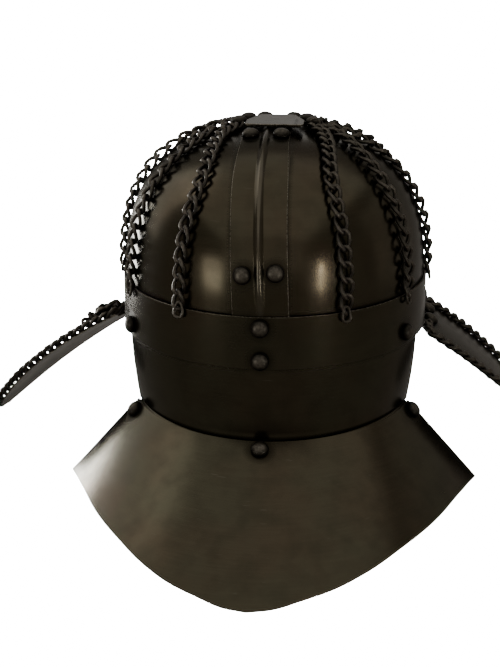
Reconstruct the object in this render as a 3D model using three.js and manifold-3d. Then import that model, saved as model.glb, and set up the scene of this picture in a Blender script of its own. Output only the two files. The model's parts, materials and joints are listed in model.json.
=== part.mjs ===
// A spangenhelm helmet: two half bowls under ribbed straps, a brow band, a neck wall with a flared
// guard, hinged cheek guards, and curb chains over the dome and round the cheek guards.
// Millimetres, +Z up, the face towards -Y. The origin is the centre of the brow band's lower edge.
import * as THREE from 'three';
import { mergeVertices } from 'three/addons/utils/BufferGeometryUtils.js';
import Module from 'manifold-3d';

const wasm = await Module();
wasm.setup();

// sheet steel and the clearance between two sheets
const sheet = 1.5;
const gap = 0.3;

// brow band, outside sizes
const bandHalfWidth = 104;
const bandHalfDepth = 121.7;
const bandHeight = 34.4;

// dome, measured from the band's top edge
const domeHeight = 96.5;
const domeFullness = 2.55; // 2 is an ellipse, more is squarer
const domeTuck = 16; // how far the bowls reach down inside the band
const seamGap = 0.6;

// straps over the seam
const strapWidth = 35;
const strapTuck = 12;
const strapStandOff = 0.45; // from the bowls
const strapTopReach = 9; // from the crown's middle to the strap's end
const backStrapLean = 4; // the back strap's top end stands this far to one side
const ribHeight = 2;
const ribWidth = 5.8;

// crown plate
const crownHalf = 19.4;
const crownFrontHalf = 11.5;
const crownShoulder = 2; // where the plate starts to narrow, from its middle

// neck wall and neck guard
const wallTop = 15; // inside the band
const wallFootInset = 6.7; // from the band's outer face
const wallFootDrop = 46.9; // below the band's lower edge
const wallFootDip = 2.2; // how much lower it lies at the back
const wallTaper = 1.6; // 1 is a straight taper to the foot, more keeps the upper part upright
const guardLength = 122.6;
const guardBackSlope = 34.6; // degrees below level
const guardSideSlope = 48.5;
const flangeLength = 14;

// rivets
const headRadius = 5.8;
const headHeight = 4.8;
const shankRadius = 2.2;
const tailRadius = 3.6;
const tailHeight = 1.2;
const facetSlack = 0.5; // how far a flat facet of a curved sheet may lie inside its true curve
const strapRivetSpread = 10; // from the strap's middle
const strapTopRivetReach = 32.5; // from the crown's middle
const strapLowRivetHeight = 63.8; // above the band's lower edge
const bandHighRivet = 27.4;
const bandLowRivet = 5.9;
const wallRivetHeight = 8.3;
const guardRivetInset = 8.2;

// curb chains
const domeChainWidth = 8.4;
const cheekChainWidth = 6.6;
const pinnedChain = 3.1; // depth of the chain ends under a crown rivet's head
const domeChainPitch = 30; // degrees from one chain to the next
const cheekChainProud = 1.3; // its line lies this far outside the plate's edge
const crownRivetStandOff = 10.6; // from a crown rivet's axis to the chains that it pins
const chainSweep = 6; // how soon a chain turns from its rivet to its own line

// hinges of the cheek guards
const hingeAngle = 110; // round the band, from the back
const hingeDrop = 6.5;
const hingeWidth = 40;
const knuckleRadius = 3.6;
const knuckleGap = 0.4;
const middleKnuckle = 15;
const pinRadius = 1.6;
const pinHeadRadius = 2.7;
const pinHeadLength = 1.2;
const leafHeight = 14; // of the fixed leaf above the band's lower edge
const leafRivetHeight = 8;
const leafLength = 18.5; // of the moving leaf from the axis
const leafRivetSpread = 12;
const leafRivetInset = 12.5;

// cheek guards
const cheekLength = 145;
const cheekHalfWidth = 39.7;
const cheekBendRadius = 310; // along its length
const cheekCurlRadius = 417; // across it
const cheekStart = 6.2; // from the hinge's axis to the plate's edge

// angles in degrees: where the neck wall ends, the rivet near that end, and how each hinge sits
const sides = [
  { name: 'left', sign: 1, wallEnd: 66, wallRivet: 60.5, toe: 11.3, tilt: -9.1, swing: 65 },
  { name: 'right', sign: -1, wallEnd: 73, wallRivet: 60.5, toe: 4, tilt: 1.9, swing: 61 },
];

// chain directions on one side: the chain's place in the ring and the crown rivet that pins it
const chainStarts = [
  { place: 1, rivet: 0, heading: 8 },
  { place: 2, rivet: 0, heading: 58 },
  { place: 3, rivet: 0, heading: 106 },
  { place: 4, rivet: 1, heading: 118 },
  { place: 5, rivet: 1, heading: 168 },
];

// crown rivets of one side, in plan from the crown's middle
const crownRivets = [
  { x: 25, y: -3.5 },
  { x: 19.8, y: -17 },
];

// the neck guard's length at shares of the way from the back to its front edge
const guardOutline = [
  { at: 0, length: 1 },
  { at: 0.06, length: 0.98 },
  { at: 0.12, length: 0.935 },
  { at: 0.2, length: 0.88 },
  { at: 0.3, length: 0.8 },
  { at: 0.43, length: 0.705 },
  { at: 0.58, length: 0.635 },
  { at: 0.76, length: 0.583 },
  { at: 0.9, length: 0.582 },
  { at: 1, length: 0.605 },
];

// a cheek guard's half width at shares of its length
const cheekOutline = [
  { at: 0, width: 0.82 },
  { at: 0.03, width: 0.95 },
  { at: 0.08, width: 1 },
  { at: 0.2, width: 1.01 },
  { at: 0.38, width: 0.99 },
  { at: 0.54, width: 0.92 },
  { at: 0.68, width: 0.79 },
  { at: 0.8, width: 0.63 },
  { at: 0.89, width: 0.46 },
  { at: 0.95, width: 0.31 },
  { at: 0.985, width: 0.18 },
  { at: 1, width: 0.07 },
];

const rad = THREE.MathUtils.degToRad;
const deg = THREE.MathUtils.radToDeg;
const bandInnerWidth = bandHalfWidth - sheet;
const bandInnerDepth = bandHalfDepth - sheet;
// the bowls leave room for the straps between them and the band at the front and back
const domeHalfWidth = bandInnerWidth - gap;
const strapOuter = strapStandOff + sheet;
const domeHalfDepth = bandInnerDepth - strapOuter - gap;
const wallFootHalfWidth = bandHalfWidth - wallFootInset;
const wallFootHalfDepth = bandHalfDepth - wallFootInset;

const steel = new THREE.MeshStandardMaterial({ color: 0x4a443a, roughness: 0.38, metalness: 0.9 });
const darkSteel = new THREE.MeshStandardMaterial({ color: 0x332f29, roughness: 0.5, metalness: 0.85 });

const helmet = new THREE.Group();

// a closed solid between two skins: at(row, column, skin) with skin 0 outside and 1 inside
function skinSolid(rows, columns, at, ring = false) {
  const positions = [];
  const span = ring ? columns : columns + 1;
  for (const skin of [0, 1]) {
    for (let row = 0; row <= rows; row++) {
      for (let column = 0; column < span; column++) positions.push(...at(row, column, skin).toArray());
    }
  }
  const index = (row, column, skin) => (skin * (rows + 1) + row) * span + (column % span);
  const faces = [];
  const quad = (a, b, c, d) => faces.push(a, b, c, a, c, d);
  for (let row = 0; row < rows; row++) {
    for (let column = 0; column < columns; column++) {
      for (const skin of [0, 1]) {
        const corners = [index(row, column, skin), index(row, column + 1, skin),
          index(row + 1, column + 1, skin), index(row + 1, column, skin)];
        if (skin === 1) corners.reverse();
        quad(...corners);
      }
    }
  }
  for (let column = 0; column < columns; column++) {
    const [from, to] = [column, column + 1];
    quad(index(0, from, 1), index(0, to, 1), index(0, to, 0), index(0, from, 0));
    quad(index(rows, from, 0), index(rows, to, 0), index(rows, to, 1), index(rows, from, 1));
  }
  for (let row = 0; !ring && row < rows; row++) {
    const [from, to] = [row, row + 1];
    quad(index(from, 0, 0), index(to, 0, 0), index(to, 0, 1), index(from, 0, 1));
    quad(index(from, columns, 1), index(to, columns, 1), index(to, columns, 0), index(from, columns, 0));
  }
  const geometry = new THREE.BufferGeometry();
  geometry.setAttribute('position', new THREE.Float32BufferAttribute(positions, 3));
  geometry.setIndex(faces);
  return closed(geometry);
}

// one vertex at each place, no folded triangles, faces pointing out
function closed(geometry) {
  const bare = geometry.clone();
  bare.deleteAttribute('normal');
  bare.deleteAttribute('uv');
  const merged = mergeVertices(bare, 1e-3);
  const old = merged.index.array;
  const kept = [];
  for (let i = 0; i < old.length; i += 3) {
    const [a, b, c] = [old[i], old[i + 1], old[i + 2]];
    if (a !== b && b !== c && c !== a) kept.push(a, b, c);
  }
  if (volume(merged, kept) < 0) kept.reverse();
  merged.setIndex(kept);
  return merged;
}

function volume(geometry, faces) {
  const corner = (i) => new THREE.Vector3().fromBufferAttribute(geometry.attributes.position, faces[i]);
  let sum = 0;
  for (let i = 0; i < faces.length; i += 3) sum += corner(i).dot(corner(i + 1).cross(corner(i + 2)));
  return sum;
}

function solidOf(geometry) {
  const merged = closed(geometry);
  return new wasm.Manifold(new wasm.Mesh({
    numProp: 3,
    vertProperties: merged.attributes.position.array,
    triVerts: new Uint32Array(merged.index.array),
  }));
}

function geometryOf(solid) {
  const mesh = solid.getMesh();
  const geometry = new THREE.BufferGeometry();
  geometry.setAttribute('position', new THREE.BufferAttribute(new Float32Array(mesh.vertProperties), 3));
  geometry.setIndex([...mesh.triVerts]);
  return geometry;
}

function joined(geometries) {
  return geometryOf(geometries.map(solidOf).reduce((whole, piece) => whole.add(piece)));
}

function cut(geometry, cutters) {
  const whole = solidOf(geometry);
  return geometryOf(cutters.map(solidOf).reduce((left, cutter) => left.subtract(cutter), whole));
}

function add(name, geometry, material, parent = helmet) {
  const mesh = new THREE.Mesh(geometry, material);
  mesh.name = name;
  parent.add(mesh);
  return mesh;
}

// a value between the rows of a table
function shareAt(table, key, at) {
  const next = Math.max(1, table.findIndex((row) => row.at >= at - 1e-9));
  const [low, high] = [table[next - 1], table[next]];
  return low[key] + ((high[key] - low[key]) * (at - low.at)) / (high.at - low.at);
}

// a frame on a surface: the place and the way out of the metal
const frameAt = (place, normal) => ({ place, normal: normal.clone().normalize() });
const lift = (frame, off) => frame.place.clone().addScaledVector(frame.normal, off);

// the band and the wall stand on ellipses round the Z axis, the angle counted from the back
function ellipseFrame(halfWidth, halfDepth, angle, z) {
  const x = Math.sin(rad(angle));
  const y = Math.cos(rad(angle));
  const place = new THREE.Vector3(halfWidth * x, halfDepth * y, z);
  return frameAt(place, new THREE.Vector3(x / halfWidth, y / halfDepth, 0));
}

// the bowls' outer surface over a place in plan, or on its upright skirt below the band's top edge
function domeFrame(x, y, drop = 0) {
  const reach = Math.min(1, Math.hypot(x / domeHalfWidth, y / domeHalfDepth));
  const rise = (1 - reach ** domeFullness) ** (1 / domeFullness);
  const steep = reach ** (domeFullness - 2);
  const normal = new THREE.Vector3(
    (steep * x) / domeHalfWidth ** 2,
    (steep * y) / domeHalfDepth ** 2,
    rise ** (domeFullness - 1) / domeHeight,
  );
  return frameAt(new THREE.Vector3(x, y, bandHeight + domeHeight * rise - drop), normal);
}

// how far out in plan the dome lies at a share of the quarter turn from its rim to its top
const domeReach = (turn) => Math.cos((turn * Math.PI) / 2) ** (2 / domeFullness);

function rivetGeometry(stack, under = 0) {
  const foot = gap + under;
  const end = -stack - gap - facetSlack;
  const profile = [
    [0, foot + headHeight],
    [headRadius * 0.62, foot + headHeight * 0.8],
    [headRadius, foot],
    [shankRadius, foot],
    [shankRadius, end],
    [tailRadius, end],
    [0, end - tailHeight],
  ];
  const lathe = new THREE.LatheGeometry(profile.reverse().map(([r, h]) => new THREE.Vector2(r, h)), 7);
  return closed(lathe);
}

// a six-sided hole clears the shank at the middle of its flats
const holeRadius = (shankRadius + gap / 2) / Math.cos(Math.PI / 6);
const holeDepth = 24;
const shankCutter = new THREE.CylinderGeometry(holeRadius, holeRadius, holeDepth, 6);

// the turn that stands a +Y shape on a frame
const standOn = (frame) => new THREE.Matrix4().compose(
  frame.place,
  new THREE.Quaternion().setFromUnitVectors(new THREE.Vector3(0, 1, 0), frame.normal),
  new THREE.Vector3(1, 1, 1),
);

const holesAt = (frames) => frames.map((frame) => shankCutter.clone().applyMatrix4(standOn(frame)));

// the frame is on the outer face of the outermost sheet, and the stack is the depth of all that is held
function addRivet(name, frame, stack, parent = helmet, under = 0) {
  const rivet = add(name, rivetGeometry(stack, under), darkSteel, parent);
  rivet.position.copy(frame.place);
  rivet.quaternion.setFromUnitVectors(new THREE.Vector3(0, 1, 0), frame.normal);
}

const raised = (frame, off) => frameAt(lift(frame, off), frame.normal);
const turned = (vector) => vector.clone().setY(-vector.y);
const mirrored = (frame) => frameAt(turned(frame.place), turned(frame.normal));

// rivet places
const crownFramesOf = (side) => crownRivets.map((spot) => domeFrame(side.sign * spot.x, spot.y));
const crownRivetFrames = sides.map(crownFramesOf);
const strapLean = (frame) => Math.max(0, (frame.place.z - bandHeight) / domeHeight);
const strapLowReach = domeHalfDepth
  * (1 - ((strapLowRivetHeight - bandHeight) / domeHeight) ** domeFullness) ** (1 / domeFullness);

function strapRivetFrames(lean, facing) {
  const frames = [];
  for (const reach of [strapTopRivetReach, strapLowReach]) {
    const middle = lean * strapLean(domeFrame(0, reach));
    for (const spread of [-strapRivetSpread, strapRivetSpread]) {
      const frame = raised(domeFrame(middle + spread, reach), strapOuter);
      frames.push(facing > 0 ? frame : mirrored(frame));
    }
  }
  return frames;
}

const strapRivets = {
  back: strapRivetFrames(backStrapLean, 1),
  front: strapRivetFrames(0, -1),
};
const bandFrame = (angle, z) => ellipseFrame(bandHalfWidth, bandHalfDepth, angle, z);
const bandRivets = {
  back_high: bandFrame(0, bandHighRivet),
  front: bandFrame(180, bandHighRivet),
  back_low: bandFrame(0, bandLowRivet),
};
for (const side of sides) side.wallRivetFrame = bandFrame(side.sign * side.wallRivet, wallRivetHeight);

// the bowls and the straps bend at the same levels, so that their facets lie alike
const domeRows = 9;
const levelsTo = (top) => {
  const turns = [-1];
  for (let row = 0; row / domeRows < top - 0.02; row++) turns.push(row / domeRows);
  return [...turns, top];
};

// two half bowls, their columns closest under the straps
const quarter = [0, 6, 13, 25, 38, 51, 64, 77, 90];
const bowlAngles = [...quarter, ...quarter.slice(0, -1).reverse().map((angle) => 180 - angle)];
for (const side of sides) {
  const turns = levelsTo(1);
  const bowl = skinSolid(turns.length - 1, bowlAngles.length - 1, (row, column, skin) => {
    const turn = turns[row];
    const angle = rad(bowlAngles[column]);
    const reach = turn < 0 ? 1 : domeReach(turn);
    const x = side.sign * domeHalfWidth * reach * Math.sin(angle);
    const y = domeHalfDepth * reach * Math.cos(angle);
    const frame = domeFrame(x, y, turn < 0 ? domeTuck : 0);
    const place = lift(frame, skin * -sheet);
    // the seam runs along the middle plane, the same width all the way
    const clear = seamGap / 2;
    const wide = domeHalfWidth;
    place.x = side.sign * (clear + (Math.abs(place.x) * (wide - clear)) / wide);
    return place;
  });
  const holes = holesAt([
    bandRivets.back_high,
    bandRivets.front,
    ...crownRivetFrames[sides.indexOf(side)],
    ...[...strapRivets.back, ...strapRivets.front].filter((frame) => frame.place.x * side.sign > 0),
  ]);
  add(`dome_${side.name}`, cut(bowl, holes), steel);
}

// straps with a pressed rib, from under the crown plate to inside the band
function strapGeometry(lean, facing) {
  const half = strapWidth / 2;
  const ribShare = ribWidth / strapWidth;
  const across = [-1, -0.55, -ribShare, -ribShare / 2, ribShare / 2, ribShare, 0.55, 1];
  const bump = [0, 0, 0, 1, 1, 0, 0, 0];
  const turns = levelsTo((Math.acos((strapTopReach / domeHalfDepth) ** (domeFullness / 2)) * 2) / Math.PI);
  return skinSolid(turns.length - 1, across.length - 1, (row, column, skin) => {
    const turn = turns[row];
    const reach = turn < 0 ? 1 : domeReach(turn);
    const rise = Math.max(0, turn < 0 ? 0 : Math.sin((turn * Math.PI) / 2) ** (2 / domeFullness));
    const x = half * across[column] + lean * rise;
    // rows run level near the rim and straight across near the crown
    const level = reach ** 4;
    const y = domeHalfDepth * Math.sqrt(reach ** 2 - level * (x / domeHalfWidth) ** 2);
    const frame = domeFrame(x, y, turn < 0 ? strapTuck : 0);
    const rib = turn <= 0 ? 0 : ribHeight * bump[column];
    const place = lift(frame, skin === 0 ? strapOuter + rib : strapStandOff + rib);
    place.y *= facing;
    return place;
  });
}

const backStrapHoles = holesAt([...strapRivets.back, bandRivets.back_high]);
const frontStrapHoles = holesAt([...strapRivets.front, bandRivets.front]);
add('strap_back', cut(strapGeometry(backStrapLean, 1), backStrapHoles), steel);
add('strap_front', cut(strapGeometry(0, -1), frontStrapHoles), steel);

// the crown plate rests on the ribs
const crownOutline = new THREE.Shape([
  new THREE.Vector2(-crownHalf, crownHalf),
  new THREE.Vector2(-crownHalf, crownShoulder),
  new THREE.Vector2(-crownFrontHalf, -crownHalf),
  new THREE.Vector2(crownFrontHalf, -crownHalf),
  new THREE.Vector2(crownHalf, crownShoulder),
  new THREE.Vector2(crownHalf, crownHalf),
]);
const crownPlate = add(
  'crown_plate',
  new THREE.ExtrudeGeometry(crownOutline, { depth: sheet, bevelEnabled: false }),
  steel,
);
crownPlate.position.z = bandHeight + domeHeight + strapOuter + ribHeight + gap;

// brow band
const hingeSpots = sides.map(hingeSpot);
const bandColumns = 52;
const band = skinSolid(1, bandColumns, (row, column, skin) => {
  const frame = ellipseFrame(bandHalfWidth, bandHalfDepth, (360 * column) / bandColumns, row * bandHeight);
  return lift(frame, skin * -sheet);
}, true);
const leafRivetFrames = hingeSpots.map((spot) => [-leafRivetSpread, leafRivetSpread].map((along) => (
  bandFrame(spot.side.sign * (hingeAngle + deg(along / bandHalfDepth)), leafRivetHeight)
)));
add('brow_band', cut(band, holesAt([
  ...Object.values(bandRivets),
  ...sides.map((side) => side.wallRivetFrame),
  ...leafRivetFrames.flat(),
])), steel);

// the neck wall's foot, and the guard's upper face from there outwards
const wallEndAt = (angle) => sides[angle >= 0 ? 0 : 1].wallEnd;
const wallFootZ = (angle) => -wallFootDrop - wallFootDip * Math.cos(rad(angle)) ** 2;

function guardSpread(angle) {
  const share = angle / wallEndAt(angle);
  const sideways = Math.sin((share * Math.PI) / 2) ** 2;
  const slope = rad(guardBackSlope + (guardSideSlope - guardBackSlope) * sideways);
  const heading = (share * Math.PI) / 2;
  return { share, slope, out: new THREE.Vector3(Math.sin(heading), Math.cos(heading), 0) };
}

function guardPlace(angle, along) {
  const { slope, out } = guardSpread(angle);
  const place = ellipseFrame(wallFootHalfWidth, wallFootHalfDepth, angle, wallFootZ(angle)).place;
  place.addScaledVector(out, along * Math.cos(slope));
  place.z -= along * Math.sin(slope);
  return place;
}

function guardFrame(angle, along) {
  const place = guardPlace(angle, along);
  const round = guardPlace(angle + 0.5, along).sub(guardPlace(angle - 0.5, along));
  const outwards = guardPlace(angle, along + 1).sub(place);
  return frameAt(place, round.cross(outwards));
}

const wallAngle = (share) => share * sides[share >= 0 ? 0 : 1].wallEnd;
const guardRivets = {
  back: guardFrame(0, guardRivetInset),
  left: guardFrame(wallAngle(0.92), guardRivetInset),
  right: guardFrame(wallAngle(-0.95), guardRivetInset),
};

// the wall and the guard bend at the same shares of the way round, so that their facets lie alike
const halfShares = [0, 0.06, 0.12, 0.2, 0.3, 0.42, 0.55, 0.68, 0.8, 0.9, 1];
const wallShares = [...halfShares.slice(1).reverse().map((share) => -share), ...halfShares];

// wall inside the band, narrowing to its foot, then a flange under the guard
const wallLevels = [wallTop, 0, -0.55 * wallFootDrop];
const flangeSteps = [0.4, 1];
const wall = skinSolid(wallLevels.length + flangeSteps.length, wallShares.length - 1, (row, column, skin) => {
  const angle = wallAngle(wallShares[column]);
  if (row > wallLevels.length) {
    const along = flangeLength * flangeSteps[row - wallLevels.length - 1];
    return lift(guardFrame(angle, along), -sheet - gap - skin * sheet);
  }
  if (row === wallLevels.length) {
    // the corner between the upright wall and the flange, on planes below the guard's upper face
    const { normal } = guardFrame(angle, 0);
    const foot = ellipseFrame(wallFootHalfWidth, wallFootHalfDepth, angle, wallFootZ(angle));
    const corner = lift(foot, -skin * sheet);
    const down = sheet + gap + skin * sheet;
    corner.z += (skin * sheet * normal.dot(foot.normal) - down) / normal.z;
    return corner;
  }
  const z = wallLevels[row];
  const lean = Math.max(0, z / -wallFootDrop) ** wallTaper;
  const halfWidth = (bandInnerWidth - gap) * (1 - lean) + wallFootHalfWidth * lean;
  const halfDepth = (bandInnerDepth - gap) * (1 - lean) + wallFootHalfDepth * lean;
  return lift(ellipseFrame(halfWidth, halfDepth, angle, z), skin * -sheet);
});
add('neck_wall', cut(wall, holesAt([
  bandRivets.back_low,
  ...sides.map((side) => side.wallRivetFrame),
  ...Object.values(guardRivets),
])), steel);

// neck guard, its upper edge standing off the wall by the gap
const guardRows = [0, 0.1, 0.3, 0.55, 0.8, 1];
const guard = skinSolid(guardRows.length - 1, wallShares.length - 1, (row, column, skin) => {
  const angle = wallAngle(wallShares[column]);
  const { share, slope, out } = guardSpread(angle);
  const { normal } = guardFrame(angle, 0);
  const wallNormal = ellipseFrame(wallFootHalfWidth, wallFootHalfDepth, angle, 0).normal;
  const start = (gap + sheet * normal.dot(wallNormal)) / (Math.cos(slope) * out.dot(wallNormal));
  const length = guardLength * shareAt(guardOutline, 'length', Math.abs(share));
  return lift(guardFrame(angle, start + (length - start) * guardRows[row]), skin * -sheet);
});
add('neck_guard', cut(guard, holesAt(Object.values(guardRivets))), steel);

// where a hinge's axis lies, inside the line of the band's inner face
function hingeSpot(side) {
  const leafOff = -sheet - gap - sheet / 2;
  const frame = ellipseFrame(bandHalfWidth, bandHalfDepth, side.sign * hingeAngle, -hingeDrop);
  const turn = side.sign * -rad(90 + side.toe);
  const group = new THREE.Group();
  group.position.copy(lift(frame, leafOff));
  // local X runs along the axis, Y points out and Z up
  group.rotation.set(0, side.sign * -rad(side.tilt), turn, 'ZYX');
  group.updateMatrix();
  return { side, group };
}

function barrel(from, to, outer, inner) {
  const ringShape = new THREE.Shape().absarc(0, 0, outer, 0, 2 * Math.PI);
  if (inner) ringShape.holes.push(new THREE.Path().absarc(0, 0, inner, 0, 2 * Math.PI, true));
  const options = { depth: to - from, bevelEnabled: false, curveSegments: 4 };
  const tube = new THREE.ExtrudeGeometry(ringShape, options);
  tube.rotateY(Math.PI / 2);
  tube.translate(from, 0, 0);
  return tube;
}

// a cheek guard's sheet in its hinge's own frame, off counted outwards from the moving leaf's middle
function cheekPlace(along, down, off) {
  const bend = down / cheekBendRadius;
  const curl = along ** 2 / (2 * cheekCurlRadius);
  const radius = cheekBendRadius + off - curl;
  return new THREE.Vector3(along, radius * Math.cos(bend) - cheekBendRadius, -radius * Math.sin(bend));
}

const plateInner = sheet / 2 + gap;
const plateOuter = plateInner + sheet;
const bore = pinRadius + gap;
const fixedKnuckleFrom = middleKnuckle / 2 + knuckleGap;
const pinReach = hingeWidth / 2 + gap;

function leafRivetFrame(along) {
  const place = cheekPlace(along, leafRivetInset, plateOuter);
  return frameAt(place, cheekPlace(along, leafRivetInset, plateOuter + 1).sub(place));
}

function cheekPlate() {
  return skinSolid(cheekOutline.length - 1, 6, (row, column, skin) => {
    const { at, width } = cheekOutline[row];
    const down = cheekStart + (cheekLength - cheekStart) * at;
    const along = cheekHalfWidth * width * (column / 3 - 1);
    return cheekPlace(along, down, skin === 0 ? plateOuter : plateInner);
  });
}

function leafSheet(halfWidth, from, to) {
  return skinSolid(1, 2, (row, column, skin) => {
    const along = halfWidth * (column - 1);
    return cheekPlace(along, from + (to - from) * row, skin === 0 ? sheet / 2 : -sheet / 2);
  });
}

// the chain round a cheek guard follows the plate's outline just outside its edge
function cheekChain() {
  const off = plateOuter + gap + cheekChainWidth / 2;
  const half = [];
  half.push(cheekPlace(cheekHalfWidth * 0.62, cheekStart + 2, off));
  half.push(cheekPlace(cheekHalfWidth * 0.84, cheekStart + 2.5, off));
  for (const { at, width } of cheekOutline.slice(2, -2)) {
    const along = cheekHalfWidth * width + cheekChainProud;
    half.push(cheekPlace(along, cheekStart + (cheekLength - cheekStart) * at, off));
  }
  const tip = cheekPlace(0, cheekLength + cheekChainProud, off);
  const other = half.map((place) => place.clone().setX(-place.x)).reverse();
  const route = new THREE.CatmullRomCurve3([...half, tip, ...other], false, 'centripetal');
  return tube(route, cheekChainWidth, 20);
}

function tube(route, width, steps) {
  const section = new THREE.Shape().absarc(0, 0, width / 2, 0, 2 * Math.PI);
  const options = { steps, extrudePath: route, curveSegments: 4, bevelEnabled: false };
  return closed(new THREE.ExtrudeGeometry(section, options));
}

for (const [number, { side, group }] of hingeSpots.entries()) {
  helmet.add(group);
  // the fixed leaf lies inside the band and carries the two outer knuckles
  const into = group.matrix;
  const leafSpan = deg(hingeWidth / 2 / bandHalfDepth);
  const upright = skinSolid(1, 3, (row, column, skin) => {
    const angle = side.sign * (hingeAngle + leafSpan * (column / 1.5 - 1));
    const z = row === 0 ? -hingeDrop : leafHeight;
    return lift(ellipseFrame(bandHalfWidth, bandHalfDepth, angle, z), -sheet - gap - skin * sheet);
  });
  const outerKnuckles = [
    barrel(fixedKnuckleFrom, hingeWidth / 2, knuckleRadius),
    barrel(-hingeWidth / 2, -fixedKnuckleFrom, knuckleRadius),
  ].map((knuckle) => knuckle.applyMatrix4(into));
  const room = [
    barrel(-fixedKnuckleFrom, fixedKnuckleFrom, knuckleRadius + 2 * knuckleGap),
    barrel(-hingeWidth, hingeWidth, bore),
  ].map((cutter) => cutter.applyMatrix4(into));
  add(`hinge_fixed_leaf_${side.name}`,
    cut(joined([upright, ...outerKnuckles]), [...room, ...holesAt(leafRivetFrames[number])]), steel);

  const pin = joined([
    barrel(-pinReach, pinReach, pinRadius),
    barrel(-pinReach - pinHeadLength, -pinReach, pinHeadRadius),
    barrel(pinReach, pinReach + pinHeadLength, pinHeadRadius),
  ]);
  add(`hinge_pin_${side.name}`, pin, darkSteel, group);

  // what swings on the pin
  const swinging = new THREE.Group();
  swinging.rotation.x = rad(side.swing);
  group.add(swinging);
  const plateHoles = [-leafRivetSpread, leafRivetSpread].map(leafRivetFrame);
  const movingLeaf = joined([
    leafSheet(hingeWidth / 2, knuckleRadius + 2 * knuckleGap, leafLength),
    leafSheet(middleKnuckle / 2, bore, knuckleRadius + 3),
    barrel(-middleKnuckle / 2, middleKnuckle / 2, knuckleRadius),
  ]);
  add(`hinge_moving_leaf_${side.name}`,
    cut(movingLeaf, [barrel(-hingeWidth, hingeWidth, bore), ...holesAt(plateHoles)]), steel, swinging);
  add(`cheek_guard_${side.name}`, cut(cheekPlate(), holesAt(plateHoles)), steel, swinging);
  add(`cheek_chain_${side.name}`, cheekChain(), darkSteel, swinging);
  for (const [place, frame] of plateHoles.entries()) {
    addRivet(`cheek_rivet_${side.name}_${place + 1}`, frame, 2 * sheet + gap, swinging);
  }
  for (const [place, frame] of leafRivetFrames[number].entries()) {
    addRivet(`hinge_rivet_${side.name}_${place + 1}`, frame, 2 * sheet + gap);
  }
}

// chains over the dome
function domeChain(side, start) {
  const pinned = crownRivets[start.rivet];
  const x = pinned.x + crownRivetStandOff * Math.sin(rad(start.heading));
  const y = pinned.y + crownRivetStandOff * Math.cos(rad(start.heading));
  const topReach = Math.hypot(x / domeHalfWidth, y / domeHalfDepth);
  const topAngle = Math.atan2(x / domeHalfWidth, y / domeHalfDepth);
  const topTurn = Math.acos(topReach ** (domeFullness / 2)) / (Math.PI / 2);
  const rimAngle = rad(start.place * domeChainPitch);
  const points = [];
  const steps = 14;
  for (let step = 0; step <= steps; step++) {
    const left = 1 - step / steps;
    const angle = rimAngle + (topAngle - rimAngle) * left ** chainSweep;
    const reach = domeReach(topTurn * left);
    const across = side.sign * domeHalfWidth * reach * Math.sin(angle);
    const frame = domeFrame(across, domeHalfDepth * reach * Math.cos(angle));
    const point = lift(frame, gap + domeChainWidth / 2);
    // the last link stands clear of the band's top edge
    points.push(point.setZ(point.z + gap));
  }
  return tube(new THREE.CatmullRomCurve3(points, false, 'centripetal'), domeChainWidth, 8);
}

for (const side of sides) {
  for (const start of chainStarts) {
    add(`dome_chain_${side.name}_${start.place}`, domeChain(side, start), darkSteel);
  }
}

// rivets through the bowls, the straps, the band, the wall and the guard
for (const [number, side] of sides.entries()) {
  for (const [place, frame] of crownRivetFrames[number].entries()) {
    addRivet(`crown_rivet_${side.name}_${place + 1}`, frame, sheet, helmet, pinnedChain);
  }
  addRivet(`wall_rivet_${side.name}`, side.wallRivetFrame, 2 * sheet + gap);
}
for (const [facing, frames] of Object.entries(strapRivets)) {
  for (const [place, frame] of frames.entries()) {
    addRivet(`strap_rivet_${facing}_${place + 1}`, frame, 2 * sheet + gap);
  }
}
addRivet('band_rivet_back_high', bandRivets.back_high, 3 * sheet + 2 * gap);
addRivet('band_rivet_front', bandRivets.front, 3 * sheet + 2 * gap);
addRivet('band_rivet_back_low', bandRivets.back_low, 2 * sheet + gap);
for (const [place, frame] of Object.entries(guardRivets)) {
  addRivet(`guard_rivet_${place}`, frame, 2 * sheet + gap);
}

export default helmet;
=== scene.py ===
# A spangenhelm helmet in dark antiqued steel: smooth sheets, domed rivets and curb chains
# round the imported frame. Metres, +Z up, the face towards -Y, the wearer's left along +X.
import json
import math
import random

import bmesh
import bpy
from mathutils import Matrix, Vector, noise


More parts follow.
